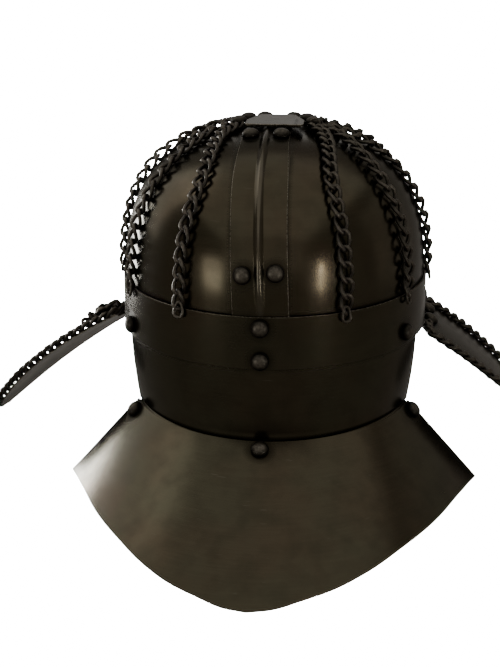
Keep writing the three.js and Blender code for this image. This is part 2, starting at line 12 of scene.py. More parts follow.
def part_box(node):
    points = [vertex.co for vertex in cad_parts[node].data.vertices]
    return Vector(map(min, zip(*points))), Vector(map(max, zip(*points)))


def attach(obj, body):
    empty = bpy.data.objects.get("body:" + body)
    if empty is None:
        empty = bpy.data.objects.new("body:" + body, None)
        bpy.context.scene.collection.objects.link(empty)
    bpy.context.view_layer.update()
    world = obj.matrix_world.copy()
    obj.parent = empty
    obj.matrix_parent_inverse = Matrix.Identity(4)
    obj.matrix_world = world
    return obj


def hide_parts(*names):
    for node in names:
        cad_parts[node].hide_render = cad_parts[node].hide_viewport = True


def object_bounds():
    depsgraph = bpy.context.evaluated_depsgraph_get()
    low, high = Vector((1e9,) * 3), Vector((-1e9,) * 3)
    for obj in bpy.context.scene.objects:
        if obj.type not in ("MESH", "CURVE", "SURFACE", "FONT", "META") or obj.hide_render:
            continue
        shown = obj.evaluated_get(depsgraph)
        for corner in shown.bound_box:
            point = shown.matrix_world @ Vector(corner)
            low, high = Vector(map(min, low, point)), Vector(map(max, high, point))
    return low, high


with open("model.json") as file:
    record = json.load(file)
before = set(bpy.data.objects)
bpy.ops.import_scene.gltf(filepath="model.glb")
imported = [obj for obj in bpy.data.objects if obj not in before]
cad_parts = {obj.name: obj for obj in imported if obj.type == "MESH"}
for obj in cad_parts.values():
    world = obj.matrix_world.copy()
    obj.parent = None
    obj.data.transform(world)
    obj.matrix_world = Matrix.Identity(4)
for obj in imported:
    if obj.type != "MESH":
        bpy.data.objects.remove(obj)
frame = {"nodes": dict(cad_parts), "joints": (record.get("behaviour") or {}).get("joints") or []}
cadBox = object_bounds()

mm = 0.001
print("frame loaded:", len(frame["nodes"]), "nodes")


class Nodes:
    # a material's node tree, filled one node at a time
    def __init__(self, name):
        self.material = bpy.data.materials.new(name)
        self.material.use_nodes = True
        self.tree = self.material.node_tree
        self.tree.nodes.clear()
        self.object = self.add("TexCoord").outputs["Object"]

    def add(self, kind, inputs=None, **settings):
        node = self.tree.nodes.new("ShaderNode" + kind)
        for key, value in settings.items():
            setattr(node, key, value)
        for key, value in (inputs or {}).items():
            if isinstance(value, bpy.types.NodeSocket):
                self.tree.links.new(value, node.inputs[key])
            else:
                node.inputs[key].default_value = value
        return node

    def noise(self, size, detail=4, roughness=0.55, source=None):
        inputs = {"Vector": source or self.object, "Scale": 1 / size,
                  "Detail": detail, "Roughness": roughness}
        return self.add("TexNoise", inputs).outputs["Fac"]

    def stretched(self, length, width, turn=(0, 0, 0)):
        # coordinates on which one unit is long round the helmet and short up it
        scale = (1 / length, 1 / length, 1 / width)
        return self.add("Mapping", {"Vector": self.object, "Scale": scale, "Rotation": turn}).outputs[0]

    def ramp(self, value, low, high, fromLevel=0.0, toLevel=1.0):
        # as the value goes from low to high, the result goes from one level to the other
        inputs = {"Value": value, "From Min": low, "From Max": high, "To Min": fromLevel, "To Max": toLevel}
        return self.add("MapRange", inputs).outputs[0]

    def mixColor(self, share, first, second, blend="MIX"):
        inputs = {0: share, 6: first, 7: second}
        return self.add("Mix", inputs, data_type="RGBA", blend_type=blend).outputs[2]

    def math(self, operation, *values):
        return self.add("Math", dict(enumerate(values)), operation=operation).outputs[0]

    def bump(self, height, distance, strength=1.0, normal=None):
        inputs = {"Height": height, "Distance": distance, "Strength": strength}
        if normal:
            inputs["Normal"] = normal
        return self.add("Bump", inputs).outputs[0]

    def steel(self, color, roughness, normal, edgeTint):
        shader = self.add("BsdfPrincipled", {
            "Base Color": color,
            "Metallic": 1.0,
            "Roughness": roughness,
            "Normal": normal,
            "Specular Tint": (*edgeTint, 1),
        })
        self.add("OutputMaterial", {"Surface": shader.outputs[0]})
        return self.material


# camera, floor and lights

view = {
    "lens": 84.507,
    "place": (-79.99 * mm, 1042.94 * mm, 320.57 * mm),
    "aim": (17.6 * mm, 0, -15.21 * mm),
}

studio = {
    "floorDrop": 600 * mm,  # from the lowest point of the guard
    "floorRadius": 18,
    "wallHeight": 30,  # a wall of the same paper stands all round the set
    "floorColor": (0.86, 0.86, 0.85),
    "floorRoughness": 0.9,
    "floorGlow": 13,
    "surround": (0.86, 0.80, 0.72),
    "surroundStrength": 0.315,
}

# name, place, aim, size and power of each lamp
lamps = [
    ("ceilingLight", (0.3, 0.8, 2.6), (0.3, 0.8, 0), (6, 6), 71),
    ("leftWindow", (1.10, 1.15, 0.05), (0, 0, 0.04), (0.45, 0.50), 3.2),
    ("roomLight", (0.2, 4.5, 1.5), (0, 0, 0.1), (6, 2.3), 16),
    ("leftFill", (1.85, -1.0, 1.15), (0, 0, -0.03), (1.3, 2.3), 13),
    ("leftEdge", (1.94, -1.79, -0.12), (0, 0, -0.05), (0.55, 1.0), 66),
    ("farLight", (0.3, -2.6, 0.95), (0, 0, 0.1), (1.8, 0.6), 2.5),
    ("rightFill", (-1.8, -0.8, 0.4), (0, 0, 0), (1.6, 1.6), 1.6),
    ("rightStrip", (-1.10, 1.15, 0.05), (0, 0, 0.04), (0.06, 0.45), 3.2),
]


def turnTo(thing, place, aim):
    thing.location = place
    thing.rotation_euler = (Vector(aim) - Vector(place)).to_track_quat("-Z", "Y").to_euler()


def setCamera():
    eye = bpy.data.cameras.new("camera")
    eye.lens = view["lens"]
    holder = bpy.data.objects.new("camera", eye)
    bpy.context.scene.collection.objects.link(holder)
    turnTo(holder, view["place"], view["aim"])
    bpy.context.scene.camera = holder


def setLamps():
    for name, place, aim, size, power in lamps:
        light = bpy.data.lights.new(name, "AREA")
        light.shape = "RECTANGLE"
        light.size, light.size_y = size
        light.energy = power
        holder = bpy.data.objects.new(name, light)
        bpy.context.scene.collection.objects.link(holder)
        turnTo(holder, place, aim)


def setSurround():
    world = bpy.data.worlds.new("surround")
    bpy.context.scene.world = world
    world.use_nodes = True
    background = world.node_tree.nodes["Background"]
    background.inputs["Color"].default_value = (*studio["surround"], 1)
    background.inputs["Strength"].default_value = studio["surroundStrength"]


def floorPaper():
    nodes = Nodes("floorPaper")
    shader = nodes.add("BsdfPrincipled", {
        "Base Color": (*studio["floorColor"], 1),
        "Roughness": studio["floorRoughness"],
        "Emission Color": (1, 1, 1, 1),
        "Emission Strength": studio["floorGlow"],
    })
    nodes.add("OutputMaterial", {"Surface": shader.outputs[0]})
    return nodes.material


def meshOf(name, shape):
    mesh = bpy.data.meshes.new(name)
    shape.to_mesh(mesh)
    shape.free()
    return mesh


def setFloor():
    shape = bmesh.new()
    bmesh.ops.create_circle(shape, cap_ends=True, segments=64, radius=studio["floorRadius"])
    grown = bmesh.ops.extrude_edge_only(shape, edges=shape.edges[:])["geom"]
    raised = [part for part in grown if isinstance(part, bmesh.types.BMVert)]
    bmesh.ops.translate(shape, verts=raised, vec=(0, 0, studio["wallHeight"]))
    height = cadBox[0].z - studio["floorDrop"]
    bmesh.ops.translate(shape, verts=shape.verts, vec=(0, 0, height))
    mesh = meshOf("floor", shape)
    floor = bpy.data.objects.new("floor", mesh)
    bpy.context.scene.collection.objects.link(floor)
    mesh.materials.append(floorPaper())
    floor.visible_glossy = False  # the steel mirrors a dim room, not the lit paper


setCamera()
setLamps()
setSurround()
setFloor()
print("camera, lights and floor set")

# finishes

# the pairs are the levels of a noise, or the values, between which a change runs
sheetLook = {
    "dark": (0.026, 0.0225, 0.0145),
    "olive": (0.050, 0.0450, 0.0285),
    "brown": (0.053, 0.0425, 0.027),
    "patchSize": 60 * mm,  # of the olive and brown patches
    "patchLevels": (0.40, 0.62),
    "cloudSize": 14 * mm,
    "stainLevels": (0.42, 0.70),
    "stain": 0.35,
    "brushLength": 30 * mm,
    "brushWidth": 0.7 * mm,
    "streakLevels": (0.35, 0.68),
    "streak": (0.96, 1.05),
    "scratch": (0.14, 0.125, 0.10),
    "scratchLength": 16 * mm,
    "scratchWidth": 0.45 * mm,
    "scratchTurn": (0.2, 0.1, 0),
    "scratchLevels": (0.73, 0.79),
    "scratchShare": 0.5,
    "patchyLevels": (0.3, 0.6),
    "patchyWear": (0.5, 1.0),
    "patchyShadeAndDirt": (0.6, 1.0),
    "seamShadeAndDirt": 3.2 * mm,  # how far the painted shade and dirt spread from a seam
    # how far the painted shade and dirt reach beyond each rivet's head
    "rivetGrime": 5.5 * mm,
    "grime": 0.50,  # how much of the colour the painted shade and dirt take away
    "shadeAndDirtRoughness": 0.15,
    "roughness": 0.22,
    "brushRoughness": 0.02,
    "cloudLevels": (0.4, 0.7),
    "cloudRoughness": (-0.01, 0.04),
    "brushDepth": 0.005 * mm,
    "waveDepth": 0.25 * mm,
    "waveSize": 26 * mm,
    "bumpStrength": 0.2,
    "edgeTint": (0.70, 0.70, 0.70),
}

edgeLook = {
    "color": (0.27, 0.24, 0.195),
    "colorLevels": (0.35, 0.65),
    "roughness": (0.29, 0.42),
    "grainSize": 1.2 * mm,
    "grainDepth": 0.03 * mm,
    "bumpStrength": 0.6,
}

rivetLook = {
    "hollow": (0.010, 0.009, 0.007),
    "worn": (0.105, 0.092, 0.072),
    "grainSize": 1.6 * mm,
    "pitDepth": 0.12 * mm,
    "roughness": (0.50, 0.36),
}

chainLook = {
    "hollow": (0.016, 0.014, 0.011),
    "worn": (0.098, 0.086, 0.068),
    "grainSize": 1.1 * mm,
    "pitDepth": 0.05 * mm,
    "roughness": (0.48, 0.34),
}

darkLook = {"wearLevels": (0.3, 0.62), "leastWear": 0.35, "bumpStrength": 0.5}
roughLevels = (0.3, 0.7)


# where the sheets meet, in the frame's own metres
seams = {
    "bandTop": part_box("brow_band")[1].z,
    "domeTop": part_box("dome_left")[1].z,
    "strapWidth": 35 * mm,
    "backLean": 4 * mm,  # how far the back strap's upper end lies to the left of its foot
}


def sheetSteel():
    # the mask of painted shade and dirt waits for the places of the rivets
    look = sheetLook
    nodes = Nodes("antiquedSheetSteel")
    patches = nodes.ramp(nodes.noise(look["patchSize"], 3, 0.5), *look["patchLevels"])
    clouds = nodes.noise(look["cloudSize"], 4, 0.5)
    lines = nodes.stretched(look["brushLength"], look["brushWidth"])
    brush = nodes.noise(1.0, 3, 0.6, lines)
    color = nodes.mixColor(patches, (*look["olive"], 1), (*look["brown"], 1))
    stain = nodes.ramp(clouds, *look["stainLevels"], 0.0, look["stain"])
    color = nodes.mixColor(stain, color, (*look["dark"], 1))
    streak = nodes.ramp(brush, *look["streakLevels"], *look["streak"])
    color = nodes.mixColor(1.0, color, streak, "MULTIPLY")
    lines = nodes.stretched(look["scratchLength"], look["scratchWidth"], look["scratchTurn"])
    scratches = nodes.ramp(nodes.noise(1.0, 2, 0.5, lines), *look["scratchLevels"], 0.0, look["scratchShare"])
    color = nodes.mixColor(scratches, color, (*look["scratch"], 1))
    worn = nodes.add("Attribute", attribute_name="worn").outputs["Fac"]
    worn = nodes.math("MULTIPLY", worn, nodes.ramp(clouds, *look["patchyLevels"], *look["patchyWear"]))
    color = nodes.mixColor(worn, color, (*edgeLook["color"], 1))
    patchy = nodes.ramp(clouds, *look["patchyLevels"], *look["patchyShadeAndDirt"])
    # painted shade and dirt along the seams, broken up in patches
    seamShadeAndDirtLevel = nodes.math("MULTIPLY", seamShadeAndDirt(nodes), patchy)
    nodes.rivetDirt = nodes.add("Math", {0: seamShadeAndDirtLevel, 1: 0.0}, operation="MAXIMUM")
    # the painted shade and dirt darken the sheet's colour
    shadeAndDirtFactor = nodes.math("MULTIPLY_ADD", nodes.rivetDirt.outputs[0], -look["grime"], 1.0)
    color = nodes.mixColor(1.0, color, shadeAndDirtFactor, "MULTIPLY")
    smoothest, roughest = (look["roughness"] + way * look["brushRoughness"] for way in (-1, 1))
    rough = nodes.ramp(brush, *roughLevels, smoothest, roughest)
    rough = nodes.math("ADD", rough, nodes.ramp(clouds, *look["cloudLevels"], *look["cloudRoughness"]))
    rough = nodes.math("MULTIPLY_ADD", nodes.rivetDirt.outputs[0], look["shadeAndDirtRoughness"], rough)
    wave = nodes.bump(nodes.noise(look["waveSize"], 2, 0.4), look["waveDepth"], look["bumpStrength"])
    normal = nodes.bump(brush, look["brushDepth"], look["bumpStrength"], wave)
    nodes.steel(color, rough, normal, look["edgeTint"])
    return nodes


def seamShadeAndDirt(nodes):
    # painted shade and dirt over the band's top edge, under its lower edge and along both sides of the straps
    spread = sheetLook["seamShadeAndDirt"]
    parts = nodes.add("SeparateXYZ", {0: nodes.object}).outputs
    top, crest = seams["bandTop"], seams["domeTop"]
    above = nodes.ramp(parts["Z"], top, top + spread, 1.0, 0.0)
    overBand = nodes.math("GREATER_THAN", parts["Z"], top)
    under = nodes.ramp(parts["Z"], -spread, 0.0, 0.0, 1.0)
    underBand = nodes.math("LESS_THAN", parts["Z"], 0.0)
    lean = nodes.ramp(parts["Z"], top, crest, 0.0, seams["backLean"])
    lean = nodes.math("MULTIPLY", lean, nodes.math("GREATER_THAN", parts["Y"], 0.0))
    across = nodes.math("ABSOLUTE", nodes.math("SUBTRACT", parts["X"], lean))
    strapHalf = seams["strapWidth"] / 2
    beside = nodes.ramp(across, strapHalf, strapHalf + spread, 1.0, 0.0)
    beside = nodes.math("MULTIPLY", beside, nodes.math("GREATER_THAN", across, strapHalf))
    beside = nodes.math("MULTIPLY", beside, overBand)
    above = nodes.math("MULTIPLY", above, overBand)
    under = nodes.math("MULTIPLY", under, underBand)
    return nodes.math("MAXIMUM", nodes.math("MAXIMUM", above, under), beside)


def addRivetShadeAndDirt(nodes, spots, radius):
    # painted shade and dirt: a dark ring on the sheets round every rivet's head
    nearest = 1.0
    for spot in spots:
        gap = nodes.add("VectorMath", {0: nodes.object, 1: spot}, operation="DISTANCE").outputs["Value"]
        nearest = nodes.math("MINIMUM", gap, nearest)
    ring = nodes.ramp(nearest, radius, radius + sheetLook["rivetGrime"], 1.0, 0.0)
    nodes.tree.links.new(ring, nodes.rivetDirt.inputs[1])


def wornEdge():
    look = edgeLook
    nodes = Nodes("wornEdgeSteel")
    grain = nodes.noise(look["grainSize"], 3)
    bare = nodes.ramp(grain, *look["colorLevels"])
    color = nodes.mixColor(bare, (*sheetLook["olive"], 1), (*look["color"], 1))
    normal = nodes.bump(grain, look["grainDepth"], look["bumpStrength"])
    rough = nodes.ramp(grain, *roughLevels, *look["roughness"])
    return nodes.steel(color, rough, normal, sheetLook["edgeTint"])


def darkSteel(name, look):
    # the piece's own attribute says where its surface stands proud and is rubbed bright
    nodes = Nodes(name)
    proud = nodes.add("Attribute", attribute_name="proud").outputs["Fac"]
    grain = nodes.noise(look["grainSize"], 4, 0.6)
    wear = nodes.ramp(grain, *darkLook["wearLevels"], darkLook["leastWear"], 1.0)
    worn = nodes.math("MULTIPLY", proud, wear)
    color = nodes.mixColor(worn, (*look["hollow"], 1), (*look["worn"], 1))
    rough = nodes.ramp(grain, *roughLevels, *look["roughness"])
    normal = nodes.bump(grain, look["pitDepth"], darkLook["bumpStrength"])
    return nodes.steel(color, rough, normal, sheetLook["edgeTint"])


sheetNodes = sheetSteel()
finishes = {
    "sheet": sheetNodes.material,
    "edge": wornEdge(),
    "rivet": darkSteel("blackenedRivetSteel", rivetLook),
    "chain": darkSteel("blackenedChainSteel", chainLook),
}
print("finishes made")

# shapes shared by the pieces

sheet = {
    "thickness": 1.5 * mm,
    "gap": 0.3 * mm,
    "edge": 0.35 * mm,
    "wornEdge": 0.7 * mm,
    "edgeSteps": 2,
    "sharpAngle": 50,  # degrees from which an edge is rounded
    "weld": 0.02 * mm,
}


def keepPiece(name, shape, finishNames, slot, body, *nodes):
    # one object at the origin from a bmesh, riding on its body in place of the frame's node
    mesh = meshOf(name, shape)
    mesh.shade_smooth()
    piece = bpy.data.objects.new(name, mesh)
    bpy.context.scene.collection.objects.link(piece)
    for finishName in finishNames:
        mesh.materials.append(finishes[finishName])
    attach(piece, body)
    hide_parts(*nodes)
    return piece


def bentGrid(rows, columns, place, outwards):
    # a grid bent to place(row share, column share), its faces towards outwards at its middle
    shape = bmesh.new()
    bmesh.ops.create_grid(shape, x_segments=columns, y_segments=rows, size=1)
    for vert in shape.verts:
        vert.co = place((vert.co.y + 1) / 2, (vert.co.x + 1) / 2)
    bmesh.ops.remove_doubles(shape, verts=shape.verts, dist=sheet["weld"])
    bmesh.ops.recalc_face_normals(shape, faces=shape.faces)
    middle = place(0.5, 0.5)
    nearest = min(shape.faces, key=lambda face: (face.calc_center_median() - middle).length)
    if nearest.normal.dot(Vector(outwards)) < 0:
        bmesh.ops.reverse_faces(shape, faces=shape.faces)
    return shape


def roundEdges(piece, width, steps, worn):
    rounded = piece.modifiers.new("roundedEdges", "BEVEL")
    rounded.width = width
    rounded.segments = steps
    rounded.limit_method = "ANGLE"
    rounded.angle_limit = math.radians(sheet["sharpAngle"])
    rounded.harden_normals = True
    if worn:
        rounded.material = 1


def sheetPiece(name, shape, body, node, worn=False):
    # the wall grows inwards from the outer skin, with worn steel on its cut edges
    piece = keepPiece(name, shape, ("sheet", "edge"), "sheet_steel", body, node)
    wall = piece.modifiers.new("wall", "SOLIDIFY")
    wall.thickness = sheet["thickness"]
    wall.offset = -1
    wall.use_even_offset = True
    wall.use_quality_normals = True
    wall.material_offset_rim = 1
    roundEdges(piece, sheet["wornEdge" if worn else "edge"], sheet["edgeSteps"], worn)


def uneven(place, normal, depth, spread):
    # a hand-worked sheet is never quite true
    return place + normal * (noise.noise(place / spread) * depth)


def smoothAt(table, at):
    # a smooth curve through the rows (share, value) of a table
    last = len(table) - 1
    k = next((i for i in range(last) if at <= table[i + 1][0]), last - 1)

    def slope(i):
        low, high = max(0, i - 1), min(last, i + 1)
        return (table[high][1] - table[low][1]) / (table[high][0] - table[low][0])

    span = table[k + 1][0] - table[k][0]
    t = (at - table[k][0]) / span
    first = (2 * t**3 - 3 * t**2 + 1) * table[k][1] + (t**3 - 2 * t**2 + t) * span * slope(k)
    second = (-2 * t**3 + 3 * t**2) * table[k + 1][1] + (t**3 - t**2) * span * slope(k + 1)
    return first + second


def easeIn(value):
    value = min(1.0, max(0.0, value))
    return value * value * (3 - 2 * value)


def ellipsePlace(halfWidth, halfDepth, angle, z):
    # place and normal on an upright oval wall, the angle in degrees from the back towards the left
    x, y = math.sin(math.radians(angle)), math.cos(math.radians(angle))
    normal = Vector((x / halfWidth, y / halfDepth, 0)).normalized()
    return Vector((halfWidth * x, halfDepth * y, z)), normal


def bandPlace(angle, z):
    return ellipsePlace(bandHalfWidth, bandHalfDepth, angle, z)


sides = {"left": 1, "right": -1}

# brow band

band = {
    "low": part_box("brow_band")[0],
    "high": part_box("brow_band")[1],
    "segments": 168,
    "rows": 6,
    "dent": 0.22 * mm,
    "dentSpread": 42 * mm,
}
bandHalfWidth = band["high"].x
bandHalfDepth = band["high"].y
bandTop = band["high"].z


def makeBand():
    shape = bmesh.new()
    bmesh.ops.create_circle(shape, cap_ends=False, radius=1, segments=band["segments"])
    bmesh.ops.scale(shape, verts=shape.verts, vec=(bandHalfWidth, bandHalfDepth, 1))
    edges = list(shape.edges)
    for _ in range(band["rows"]):
        grown = bmesh.ops.extrude_edge_only(shape, edges=edges)["geom"]
        verts = [part for part in grown if isinstance(part, bmesh.types.BMVert)]
        edges = [part for part in grown if isinstance(part, bmesh.types.BMEdge)]
        edges = [edge for edge in edges if edge.verts[0] in verts and edge.verts[1] in verts]
        bmesh.ops.translate(shape, verts=verts, vec=(0, 0, bandTop / band["rows"]))
    bmesh.ops.recalc_face_normals(shape, faces=shape.faces)
    face = max(shape.faces, key=lambda face: face.calc_center_median().x)
    if face.normal.x < 0:
        bmesh.ops.reverse_faces(shape, faces=shape.faces)
    for vert in shape.verts:
        normal = Vector((vert.co.x / bandHalfWidth**2, vert.co.y / bandHalfDepth**2, 0)).normalized()
        sag = noise.noise(vert.co / band["dentSpread"]) - 1
        vert.co += normal * sag * band["dent"] / 2
    sheetPiece("browBandSheet", shape, "shell", "brow_band")


makeBand()
print("brow band made")

# dome bowls

dome = {
    "halfWidth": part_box("dome_left")[1].x,
    "halfDepth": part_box("dome_left")[1].y,
    "top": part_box("dome_left")[1].z,
    "fullness": 2.55,  # 2 is an ellipse, more is squarer
    "tuck": 16 * mm,  # the bowls reach down inside the band
    "skirtShare": 0.08,  # of the rows, in that tuck
    "seam": 0.6 * mm,
    "rows": 52,
    "columns": 72,
    "dent": 0.25 * mm,
    "dentSpread": 38 * mm,
}
domeHeight = dome["top"] - bandTop


def domePlace(x, y):
    # place and normal on the bowls' outer skin over a place in plan
    q = dome["fullness"]
    reach = min(1.0, math.hypot(x / dome["halfWidth"], y / dome["halfDepth"]))
    rise = max(0.0, 1 - reach**q) ** (1 / q)
    steep = reach ** (q - 2)
    normal = Vector((
        steep * x / dome["halfWidth"]**2,
        steep * y / dome["halfDepth"]**2,
        rise ** (q - 1) / domeHeight,
    ))
    return Vector((x, y, bandTop + domeHeight * rise)), normal.normalized()


def domeReach(turn):
    # how far out in plan the dome lies at a share of the quarter turn from its rim to its top
    return max(0.0, math.cos(turn * math.pi / 2)) ** (2 / dome["fullness"])


def onDome(turn, angle):
    reach = domeReach(turn)
    return domePlace(
        dome["halfWidth"] * reach * math.sin(math.radians(angle)),
        dome["halfDepth"] * reach * math.cos(math.radians(angle)),
    )


def makeBowl(side, sign):
    skirtShare = dome["skirtShare"]

    def place(row, column):
        turn = max(0.0, (row - skirtShare) / (1 - skirtShare))
        spot, normal = onDome(turn, 180 * column)
        spot = uneven(spot, normal, dome["dent"], dome["dentSpread"]) - normal * dome["dent"] / 2
        spot.z -= dome["tuck"] * max(0.0, 1 - row / skirtShare)
        clear = dome["seam"] / 2
        spot.x = sign * (clear + max(0.0, spot.x) * (dome["halfWidth"] - clear) / dome["halfWidth"])
        return spot

    shape = bentGrid(dome["rows"], dome["columns"], place, (sign, 0, 0.4))
    sheetPiece("bowl" + side.capitalize(), shape, "shell", "dome_" + side)


for side, sign in sides.items():
    makeBowl(side, sign)
print("dome bowls made")

# straps and crown plate

strap = {
    "width": seams["strapWidth"],
    "tuck": 12 * mm,
    "skirtShare": 0.07,  # of the rows, in that tuck
    "standOff": 0.45 * mm,
    "topReach": 9 * mm,  # from the crown's middle to the strap's end
    "lean": {"back": seams["backLean"], "front": 0.0},
    "ribHeight": 2 * mm,
    "ribHalfWidth": 3.3 * mm,
    "ribPower": 1.5,  # 1 is a round rib, more has hollower flanks
    "ribStart": 0.05,  # shares of the quarter turn from the rim to the top
    "ribWear": 0.16,
    "topTaper": 2 * mm,  # how much narrower each half gets towards the crown
    "taperStart": 0.5,
    "taperLength": 0.4,
    "rows": 64,
    "columns": 84,
}

crown = {
    "half": 19.4 * mm,
    "frontHalf": 11.5 * mm,
    "shoulder": 2 * mm,
    "cornerRadius": 2.2 * mm,
    "edge": 0.4 * mm,
    "edgeSteps": 3,
}


def makeStrap(facing, sign):
    lean = strap["lean"][facing]
    skirtShare = strap["skirtShare"]
    q = dome["fullness"]
    endTurn = math.acos((strap["topReach"] / dome["halfDepth"]) ** (q / 2)) * 2 / math.pi

    def place(row, column):
        turn = endTurn * max(0.0, (row - skirtShare) / (1 - skirtShare))
        reach = domeReach(turn)
        rise = math.sin(turn * math.pi / 2) ** (2 / q)
        taper = strap["topTaper"] * easeIn((turn - strap["taperStart"]) / strap["taperLength"])
        across = (column - 0.5) * (strap["width"] - 2 * taper)
        x = across + lean * rise
        # rows run level near the rim and straight across near the crown
        y = dome["halfDepth"] * math.sqrt(reach**2 - reach**4 * (x / dome["halfWidth"]) ** 2)
        spot, normal = domePlace(x, y)
        crest = math.cos(min(1.0, abs(across) / strap["ribHalfWidth"]) * math.pi / 2) ** strap["ribPower"]
        rib = strap["ribHeight"] * crest * easeIn(turn / strap["ribStart"])
        spot += normal * (strap["standOff"] + sheet["thickness"] + rib)
        spot.z -= strap["tuck"] * max(0.0, 1 - row / skirtShare)
        spot.y *= sign
        return spot

    shape = bentGrid(strap["rows"], strap["columns"], place, (0, sign, 0.4))
    worn = shape.verts.layers.float.new("worn")
    for vert in shape.verts:
        rise = max(0.0, vert.co.z - bandTop) / domeHeight
        vert[worn] = strap["ribWear"] * easeIn(1 - abs(vert.co.x - lean * rise) / strap["ribHalfWidth"])
    sheetPiece(facing + "Strap", shape, "shell", "strap_" + facing, worn=True)


def makeCrownPlate():
    low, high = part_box("crown_plate")
    corners = [
        (-crown["half"], crown["half"]), (-crown["half"], crown["shoulder"]),
        (-crown["frontHalf"], -crown["half"]), (crown["frontHalf"], -crown["half"]),
        (crown["half"], crown["shoulder"]), (crown["half"], crown["half"]),
    ]
    shape = bmesh.new()
    verts = [shape.verts.new((x, y, low.z)) for x, y in corners]
    shape.faces.new(verts)
    bmesh.ops.bevel(shape, geom=shape.verts[:], offset=crown["cornerRadius"], segments=4, profile=0.5,
                    affect="VERTICES", material=-1)
    grown = bmesh.ops.extrude_face_region(shape, geom=shape.faces[:])["geom"]
    raised = [part for part in grown if isinstance(part, bmesh.types.BMVert)]
    bmesh.ops.translate(shape, verts=raised, vec=(0, 0, high.z - low.z))
    bmesh.ops.recalc_face_normals(shape, faces=shape.faces)
    piece = keepPiece("crownPlateSheet", shape, ("sheet", "edge"), "sheet_steel", "shell", "crown_plate")
    roundEdges(piece, crown["edge"], crown["edgeSteps"], worn=True)


makeStrap("back", 1)
makeStrap("front", -1)
makeCrownPlate()
print("straps and crown plate made")

# neck wall and neck guard

neck = {
    "wallTop": 15 * mm,
    "footInset": 6.7 * mm,
    "footDrop": 46.9 * mm,
    "footDip": 2.2 * mm,
    "taper": 1.6,
    "ends": {"left": 66, "right": 73},  # degrees round from the back
    "wallShare": 0.72,  # of the wall's rows, above its foot
    "flange": 14 * mm,
    "guardLength": 122.6 * mm,
    "backSlope": 34.6,  # degrees down from level
    "sideSlope": 48.5,
    "rows": 40,
    "columns": 108,
    "dent": 0.35 * mm,
    "dentSpread": 40 * mm,
}
footHalfWidth = bandHalfWidth - neck["footInset"]
footHalfDepth = bandHalfDepth - neck["footInset"]

# the guard's length at shares of the way from the back to its front edge
guardOutline = [
    (0, 1), (0.06, 0.98), (0.12, 0.935), (0.2, 0.88), (0.3, 0.8), (0.43, 0.705), (0.58, 0.635),
    (0.76, 0.583), (0.9, 0.582), (1, 0.605),
]


def neckAngle(share):
    return share * neck["ends"]["left" if share >= 0 else "right"]


def footZ(angle):
    return -neck["footDrop"] - neck["footDip"] * math.cos(math.radians(angle)) ** 2


def guardPlace(angle, along):
    share = angle / neck["ends"]["left" if angle >= 0 else "right"]
    heading = share * math.pi / 2
    slope = math.radians(neck["backSlope"] + (neck["sideSlope"] - neck["backSlope"]) * math.sin(heading) ** 2)
    spot, _ = ellipsePlace(footHalfWidth, footHalfDepth, angle, footZ(angle))
    spot += Vector((math.sin(heading), math.cos(heading), 0)) * along * math.cos(slope)
    spot.z -= along * math.sin(slope)
    return spot


def guardSpot(angle, along):
    # place and normal on the guard's upper face
    spot = guardPlace(angle, along)
    across = guardPlace(angle + 0.5, along) - guardPlace(angle - 0.5, along)
    outwards = guardPlace(angle, along + mm) - spot
    return spot, across.cross(outwards).normalized()


def makeWall():
    # the rows run down the wall, round the corner at its foot and out along the flange
    wallShare = neck["wallShare"]
    depth = sheet["thickness"] + sheet["gap"]

    def place(row, column):
        angle = neckAngle(2 * column - 1)
        foot, footNormal = ellipsePlace(footHalfWidth, footHalfDepth, angle, footZ(angle))
        if row <= wallShare:
            z = neck["wallTop"] + (foot.z - depth - neck["wallTop"]) * row / wallShare
            lean = max(0.0, min(1.0, -z / neck["footDrop"])) ** neck["taper"]
            halfWidth = (bandHalfWidth - depth) * (1 - lean) + footHalfWidth * lean
            halfDepth = (bandHalfDepth - depth) * (1 - lean) + footHalfDepth * lean
            spot, normal = ellipsePlace(halfWidth, halfDepth, angle, z)
            return uneven(spot, normal, neck["dent"] / 2, neck["dentSpread"])
        along = neck["flange"] * (row - wallShare) / (1 - wallShare)
        spot, normal = guardSpot(angle, along)
        return spot - normal * depth

    shape = bentGrid(neck["rows"], neck["columns"], place, (0, 1, 0.2))
    sheetPiece("neckWallSheet", shape, "shell", "neck_wall")


def makeGuard():
    def place(row, column):
        share = 2 * column - 1
        angle = neckAngle(share)
        _, normal = guardSpot(angle, 0)
        _, wallNormal = ellipsePlace(footHalfWidth, footHalfDepth, angle, 0)
        start = sheet["gap"] + sheet["thickness"] * normal.dot(wallNormal)
        length = neck["guardLength"] * smoothAt(guardOutline, abs(share))
        spot, normal = guardSpot(angle, start + (length - start) * row)
        return uneven(spot, normal, neck["dent"], neck["dentSpread"])

    shape = bentGrid(neck["rows"], neck["columns"], place, (0, 0.5, 0.8))
    sheetPiece("neckGuardSheet", shape, "shell", "neck_guard")


makeWall()
makeGuard()
print("neck wall and neck guard made")

# hinges and cheek guards

hinge = {
    "width": 40 * mm,
    "knuckle": 3.6 * mm,
    "knuckleGap": 0.4 * mm,
    "middleKnuckle": 15 * mm,
    "pin": 1.6 * mm,
    "pinHead": 2.7 * mm,
    "pinHeadLength": 1.2 * mm,
    "angle": 110,  # degrees round from the back
    "leafFoot": 0.8,  # knuckle radii above the pin
    "leafHeight": 14 * mm,
    "leafLength": 18.5 * mm,
    "tongueStart": 2.56 * mm,  # the moving leaf runs on into its knuckle
    "tongueLap": 0.5 * mm,
    "edge": 0.3 * mm,
    "pinEdge": 0.2 * mm,
    "edgeSteps": 2,
    "rivetSpread": 12 * mm,
    "rivetInset": 12.5 * mm,
    "rivetHeight": 8 * mm,
    "swing": {"left": 65, "right": 61},  # degrees raised at rest
    "segments": 20,
}

